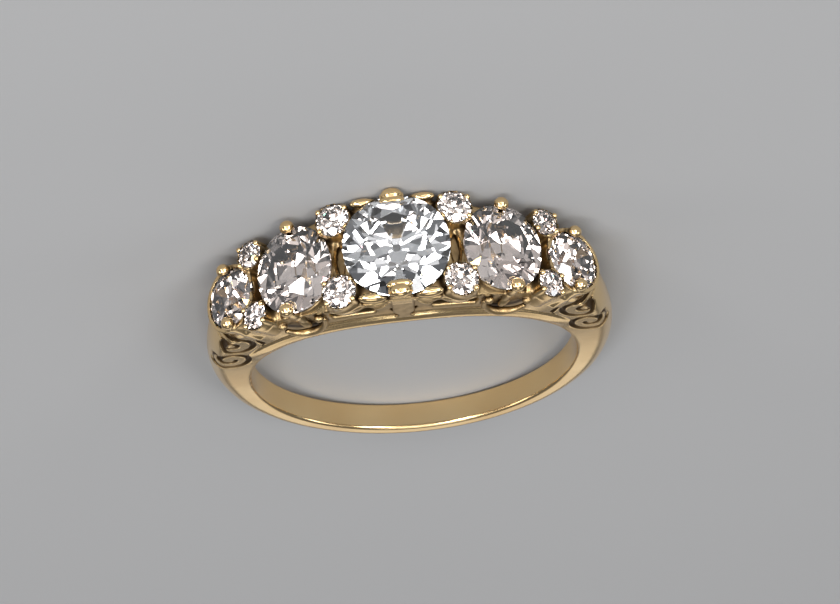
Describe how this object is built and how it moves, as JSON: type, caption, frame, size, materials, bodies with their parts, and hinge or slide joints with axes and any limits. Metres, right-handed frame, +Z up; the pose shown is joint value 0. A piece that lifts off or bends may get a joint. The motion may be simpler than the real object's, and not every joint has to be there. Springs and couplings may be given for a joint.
{
  "type": "five stone ring",
  "caption": "carved half hoop ring with graduated old cut stones in claws, small accent stones between them, a pierced gallery and scroll carved shoulders",
  "frame": {"origin": "on the floor under the middle of the ring's bounding box, lying on its side", "axes": "+Z is up from the floor and about along the finger, -Y points to the stones, +Y to the back of the shank and +X to the left of the picture"},
  "size_m": [0.021, 0.0236, 0.006],
  "materials": {
    "yellow_gold": "polished",
    "diamond_main": "faceted and polished",
    "diamond_accent": "faceted and polished"
  },
  "bodies": {
    "root": {"gold_mount": "yellow_gold", "centre_diamond": "diamond_main", "second_diamond_left": "diamond_main", "second_diamond_right": "diamond_main", "end_diamond_left": "diamond_main", "end_diamond_right": "diamond_main", "inner_accent_left_front": "diamond_accent", "inner_accent_left_back": "diamond_accent", "inner_accent_right_front": "diamond_accent", "inner_accent_right_back": "diamond_accent", "outer_accent_left_front": "diamond_accent", "outer_accent_left_back": "diamond_accent", "outer_accent_right_front": "diamond_accent", "outer_accent_right_back": "diamond_accent"}
  },
  "joints": []
}
